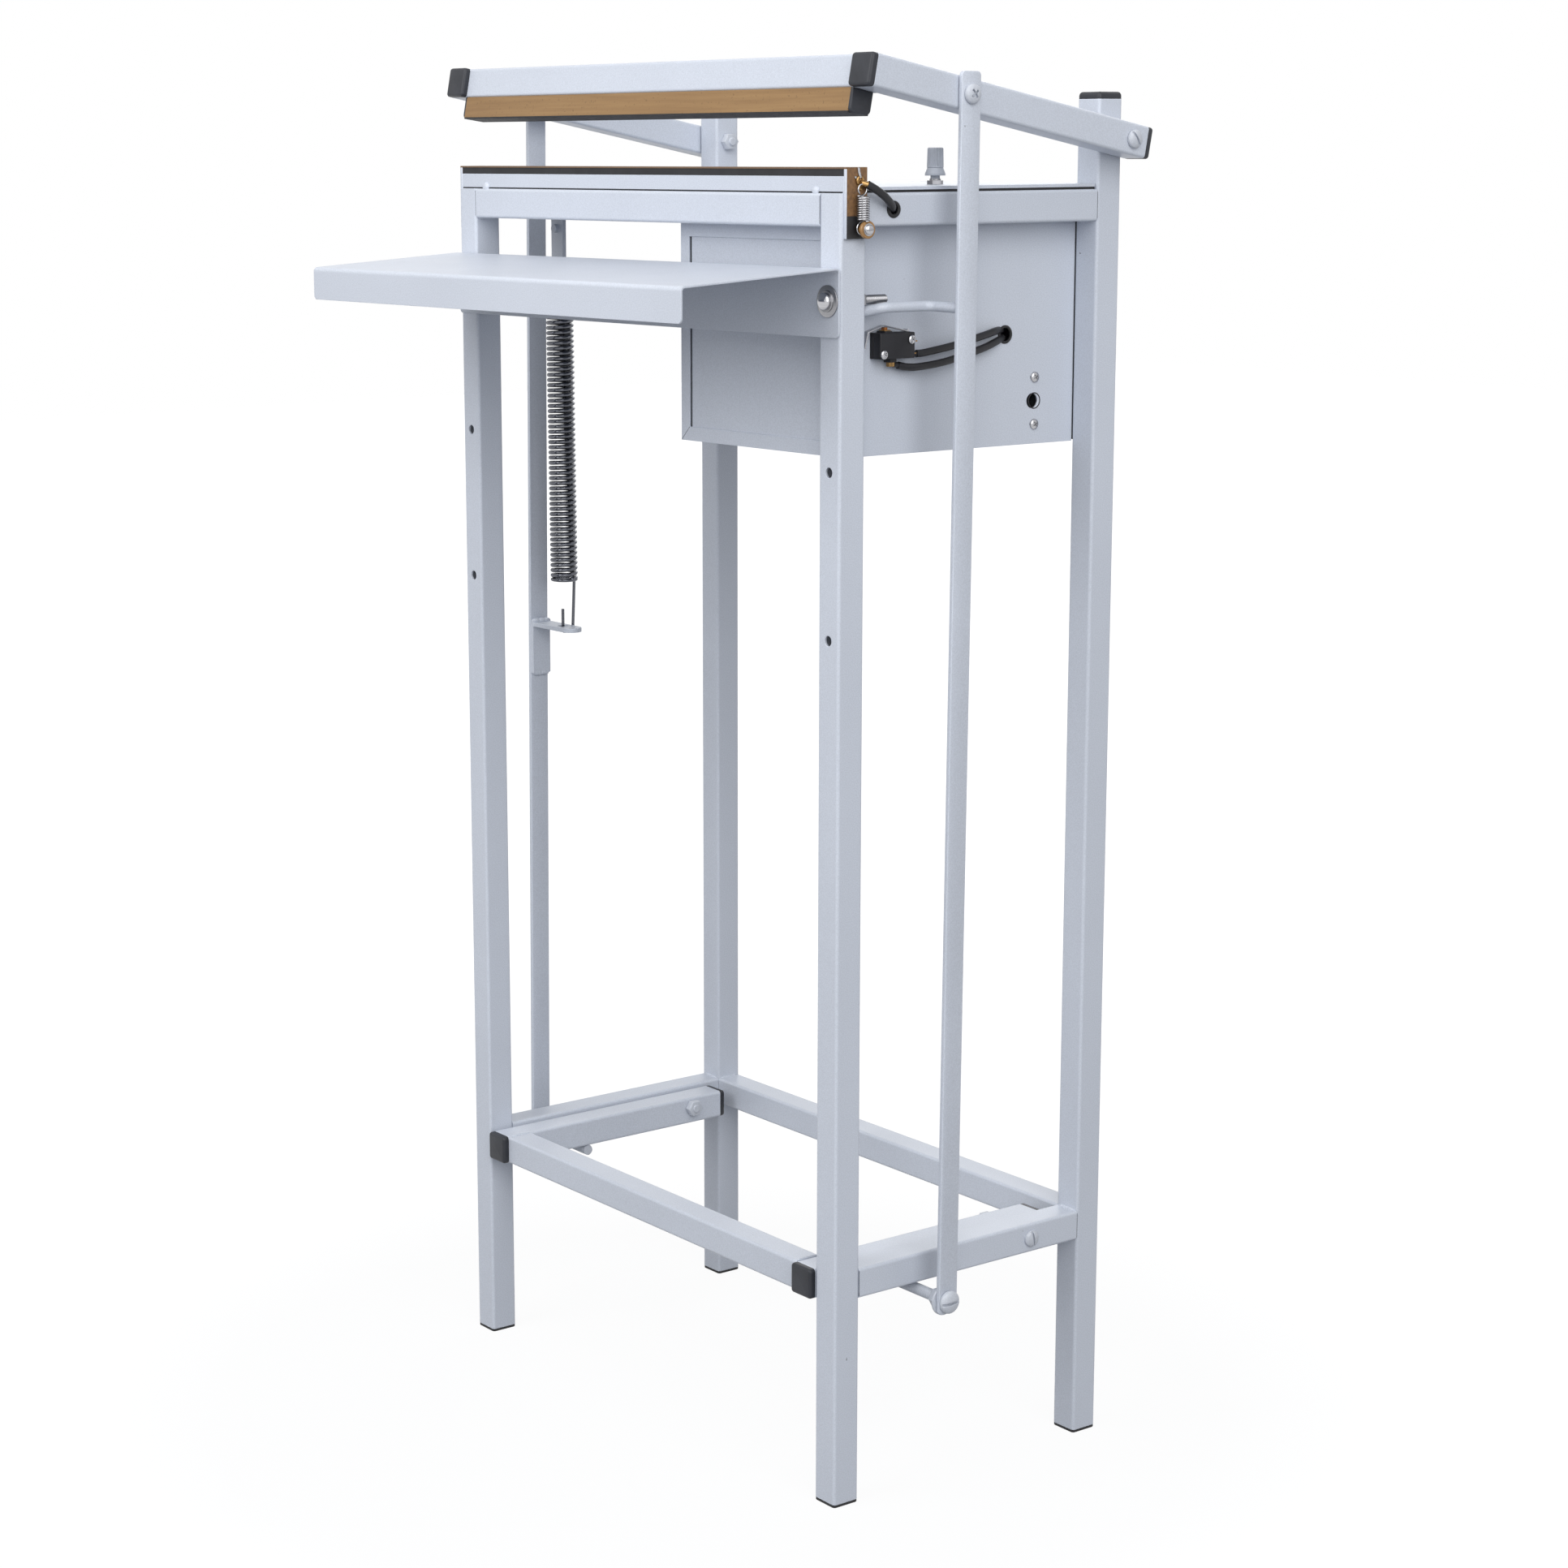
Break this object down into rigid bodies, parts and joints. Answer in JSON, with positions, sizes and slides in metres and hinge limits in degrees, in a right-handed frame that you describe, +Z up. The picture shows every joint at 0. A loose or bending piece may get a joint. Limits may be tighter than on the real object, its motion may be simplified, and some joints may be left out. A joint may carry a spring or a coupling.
{
  "type": "foot pedal sealer",
  "caption": "Floor-standing heat sealer for bags: a pedal frame pulls side rods that close a hinged upper jaw on a heated lower jaw, with a front tray and a timer box.",
  "frame": {"origin": "on the floor, under the middle of the machine's overall width and depth", "axes": "+Z up, +Y to the rear, -Y towards the operator and the tray, +X to the operator's right where the timer box is"},
  "size_m": [0.4802, 0.3566, 0.9184],
  "materials": {
    "paint": "light blue-grey powder coat",
    "cap_plastic": "soft black moulded",
    "gasket_rubber": "matt",
    "terminal_brass": "plated tab",
    "silicone": "matt",
    "ribbon": "rolled",
    "ptfe_cloth": "brown coated cloth",
    "dark_laminate": "pressed laminate, black at its lower end",
    "turned_laminate": "turned laminate",
    "zinc_steel": "zinc plated",
    "lead_sleeve": "woven sleeve",
    "chrome": "polished",
    "core_steel": "varnished laminations",
    "copper_winding": "taped winding",
    "board_green": "coated board",
    "knob_plastic": "grey moulded",
    "switch_plastic": "black moulded",
    "plunger_plastic": "orange-brown moulded",
    "bright_steel": "bright strip",
    "spring_steel": "oiled wire",
    "presser_laminate": "ochre pressed laminate"
  },
  "bodies": {
    "frame": {"front_right_leg": "paint", "front_left_leg": "paint", "rear_right_leg": "paint", "rear_left_leg": "paint", "leg_feet": "cap_plastic", "rear_leg_caps": "cap_plastic", "top_front_rail": "paint", "top_rear_rail": "paint", "lower_rear_rail": "paint", "top_right_rail": "paint", "top_left_rail": "paint", "lower_right_rail": "paint", "lower_left_rail": "paint", "top_cover": "paint", "deck_gasket": "gasket_rubber", "lower_jaw_base": "paint", "insulation_strip": "silicone", "heating_ribbon": "ribbon", "cloth_cover": "ptfe_cloth", "jaw_end_plates": "dark_laminate", "ribbon_terminals": "terminal_brass", "spring_bushes": "turned_laminate", "bush_screws": "zinc_steel", "ribbon_springs": "zinc_steel", "heater_leads": "lead_sleeve", "tray": "paint", "tray_bolts": "chrome", "control_box": "paint", "box_front_panel": "paint", "transformer_core": "core_steel", "transformer_winding": "copper_winding", "timer_board": "board_green", "timer_potentiometer": "zinc_steel", "microswitch": "switch_plastic", "box_screws": "zinc_steel", "switch_leads": "lead_sleeve", "spring_hanger": "paint", "return_spring": "spring_steel", "pedal_pivot_bolts": "paint", "jaw_pivot_bolts": "paint"},
    "pedal": {"pedal_right_arm": "paint", "pedal_left_arm": "paint", "pedal_front_bar": "paint", "pedal_caps": "cap_plastic", "rod_bolts": "paint"},
    "upper_jaw": {"jaw_right_arm": "paint", "jaw_left_arm": "paint", "jaw_front_bar": "paint", "presser_bar": "presser_laminate", "presser_strip": "silicone", "jaw_caps": "cap_plastic", "rod_screws": "paint"},
    "right_rod": {"right_pull_rod": "paint", "switch_actuator": "paint"},
    "left_rod": {"left_pull_rod": "paint", "spring_lug": "paint"},
    "spring_hook": {"return_spring_hook": "spring_steel"},
    "switch_lever": {"switch_lever": "bright_steel"},
    "switch_plunger": {"switch_plunger": "plunger_plastic"},
    "timer_knob": {"timer_knob": "knob_plastic"}
  },
  "joints": [
    {"name": "pedal_press", "type": "hinge", "parent": "frame", "child": "pedal", "pos_m": [0, 0.10859, 0.1485], "axis": [1, 0, 0], "range_deg": [0, 13.02], "stiffness_Nm_per_rad": 6, "springref_deg": -34.38},
    {"name": "jaw_hinge", "type": "hinge", "parent": "frame", "child": "upper_jaw", "pos_m": [0, 0.16059, 0.867], "axis": [1, 0, 0], "range_deg": [0, 8.52]},
    {"name": "right_rod_pin", "type": "hinge", "parent": "upper_jaw", "child": "right_rod", "pos_m": [0.2335, 0.0212, 0.89409], "axis": [1, 0, 0], "range_deg": [-7.92, 0]},
    {"name": "left_rod_pin", "type": "hinge", "parent": "upper_jaw", "child": "left_rod", "pos_m": [-0.2335, 0.0212, 0.89409], "axis": [1, 0, 0], "range_deg": [-7.92, 0]},
    {"name": "spring_hook_pull", "type": "slide", "parent": "frame", "child": "spring_hook", "axis": [0, 0.0849, -0.9964], "range_m": [0, 0.02112], "deforming": ["return_spring"]},
    {"name": "switch_lever_hinge", "type": "hinge", "parent": "frame", "child": "switch_lever", "pos_m": [0.19515, 0.00519, 0.7522], "axis": [1, 0, 0], "range_deg": [0, 5.45]},
    {"name": "switch_plunger_slide", "type": "slide", "parent": "frame", "child": "switch_plunger", "axis": [0, 0, -1], "range_m": [0, 0.00155]},
    {"name": "timer_knob_turn", "type": "hinge", "parent": "frame", "child": "timer_knob", "pos_m": [0.15, 0.0666, 0.8395], "axis": [0, 0, 1], "range_deg": [-150, 150]}
  ],
  "couplings": [
    {"joint": "jaw_hinge", "follows": "pedal_press", "ratio": 0.65078},
    {"joint": "right_rod_pin", "follows": "pedal_press", "ratio": -0.60102},
    {"joint": "left_rod_pin", "follows": "pedal_press", "ratio": -0.60102},
    {"joint": "spring_hook_pull", "follows": "pedal_press", "m_per_rad": 0.092085},
    {"joint": "switch_lever_hinge", "follows": "pedal_press", "ratio": 0.4149},
    {"joint": "switch_plunger_slide", "follows": "pedal_press", "m_per_rad": 0.006603}
  ]
}
